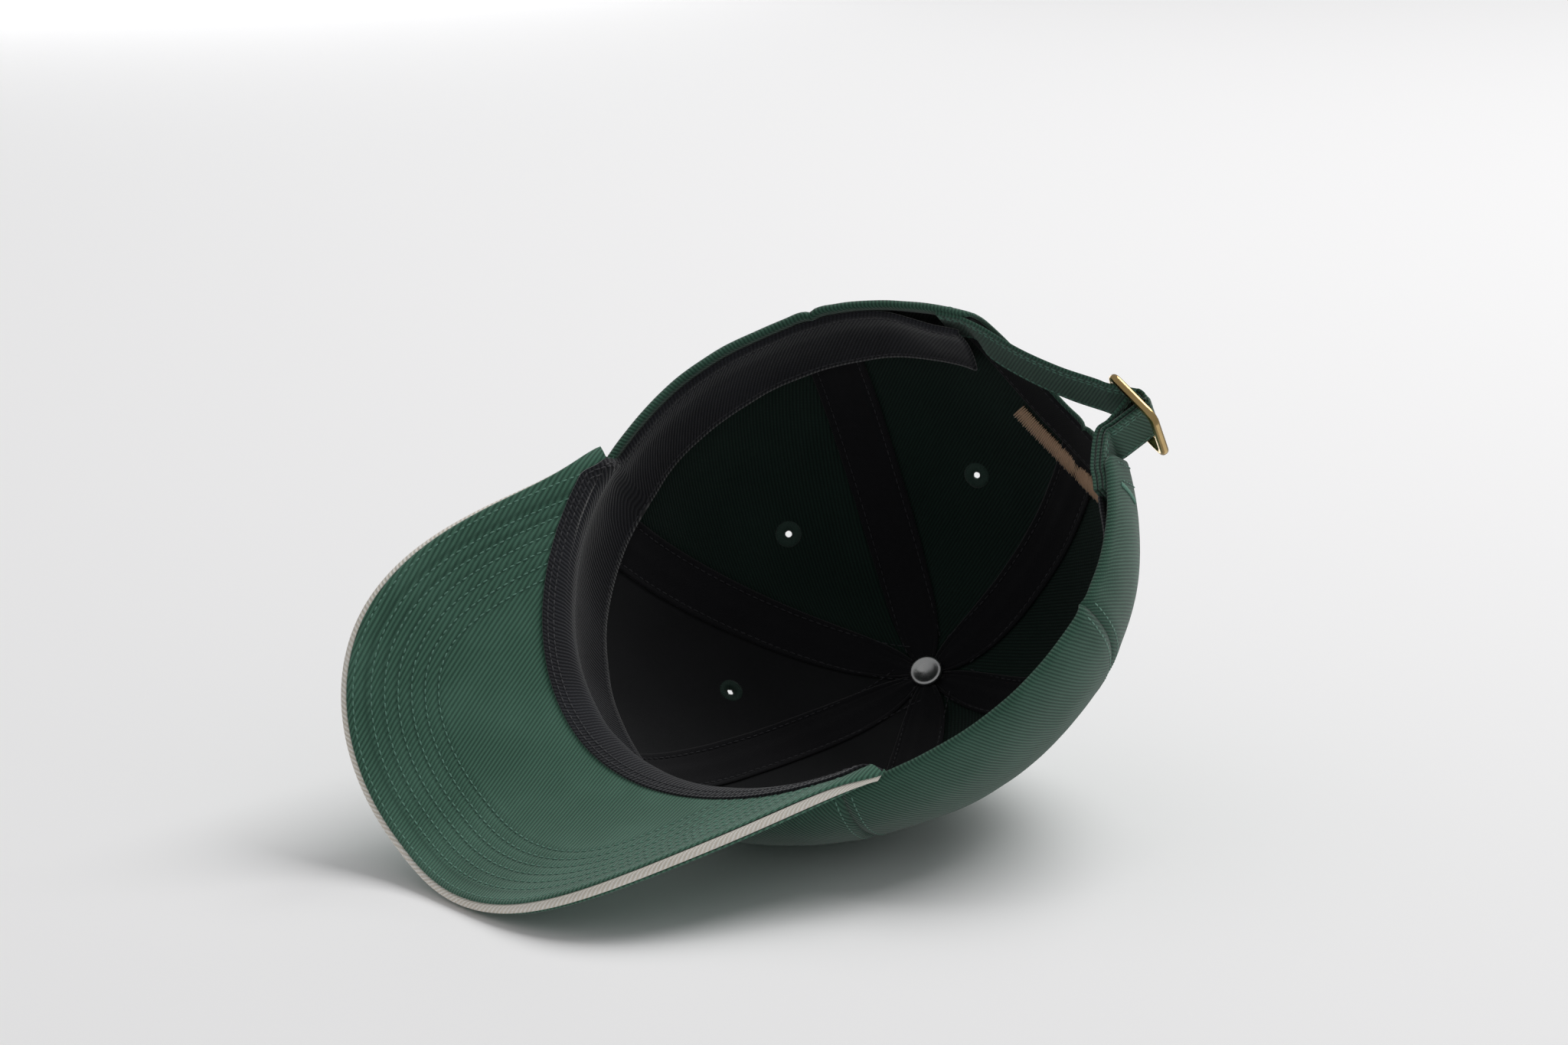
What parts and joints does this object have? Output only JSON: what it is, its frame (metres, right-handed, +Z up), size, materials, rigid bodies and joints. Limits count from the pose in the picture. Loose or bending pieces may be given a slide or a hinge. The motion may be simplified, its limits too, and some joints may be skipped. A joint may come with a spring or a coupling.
{
  "type": "baseball cap",
  "caption": "Unstructured baseball cap of sewn cloth panels with a curved sandwich brim, seam tapes, sweatband and a cloth strap that runs through a brass slide buckle.",
  "frame": {"origin": "centre of the head opening, on the plane of the rim", "axes": "+Z up through the top button, -Y forward along the brim, +X to the wearer's left"},
  "size_m": [0.1842, 0.2809, 0.1447],
  "materials": {
    "green_twill": "matte",
    "black_backing": "matte",
    "black_tape": "matte",
    "black_sweatband": "matte",
    "green_thread": "matte",
    "beige_thread": "satin",
    "cream_twill": "matte",
    "board_plastic": "matte",
    "pressed_metal": "polished",
    "brass": "polished"
  },
  "bodies": {
    "cap": {"arch_facing": "black_sweatband", "brim_board": "board_plastic", "brim_contrast_edge": "cream_twill", "brim_top_cover": "green_twill", "brim_under_cover": "green_twill", "buckle_loop": "green_twill", "button_core": "pressed_metal", "button_cover": "green_twill", "button_rivet": "pressed_metal", "closure_strap": "green_twill", "front_backing_left": "black_backing", "front_backing_right": "black_backing", "front_centre_tape": "black_tape", "front_eyelet_left": "green_thread", "front_eyelet_right": "green_thread", "front_panel_left": "green_twill", "front_panel_right": "green_twill", "front_side_tape_left": "black_tape", "front_side_tape_right": "black_tape", "rear_centre_tape": "black_tape", "rear_eyelet_left": "green_thread", "rear_eyelet_right": "green_thread", "rear_panel_left": "green_twill", "rear_panel_right": "green_twill", "side_eyelet_left": "green_thread", "side_eyelet_right": "green_thread", "side_panel_left": "green_twill", "side_panel_right": "green_twill", "side_rear_tape_left": "black_tape", "side_rear_tape_right": "black_tape", "stitched_bar": "beige_thread", "strap_bartack_left": "green_thread", "strap_bartack_right": "green_thread", "sweatband": "black_sweatband"},
    "buckle": {"buckle_frame": "brass", "buckle_bar": "brass"}
  },
  "joints": [
    {"name": "buckle_swing", "type": "hinge", "parent": "cap", "child": "buckle", "pos_m": [-0.027, 0.10685, 0.0115], "axis": [0, 0, 1], "range_deg": [-12, 12], "deforming": ["closure_strap", "buckle_loop"]}
  ]
}
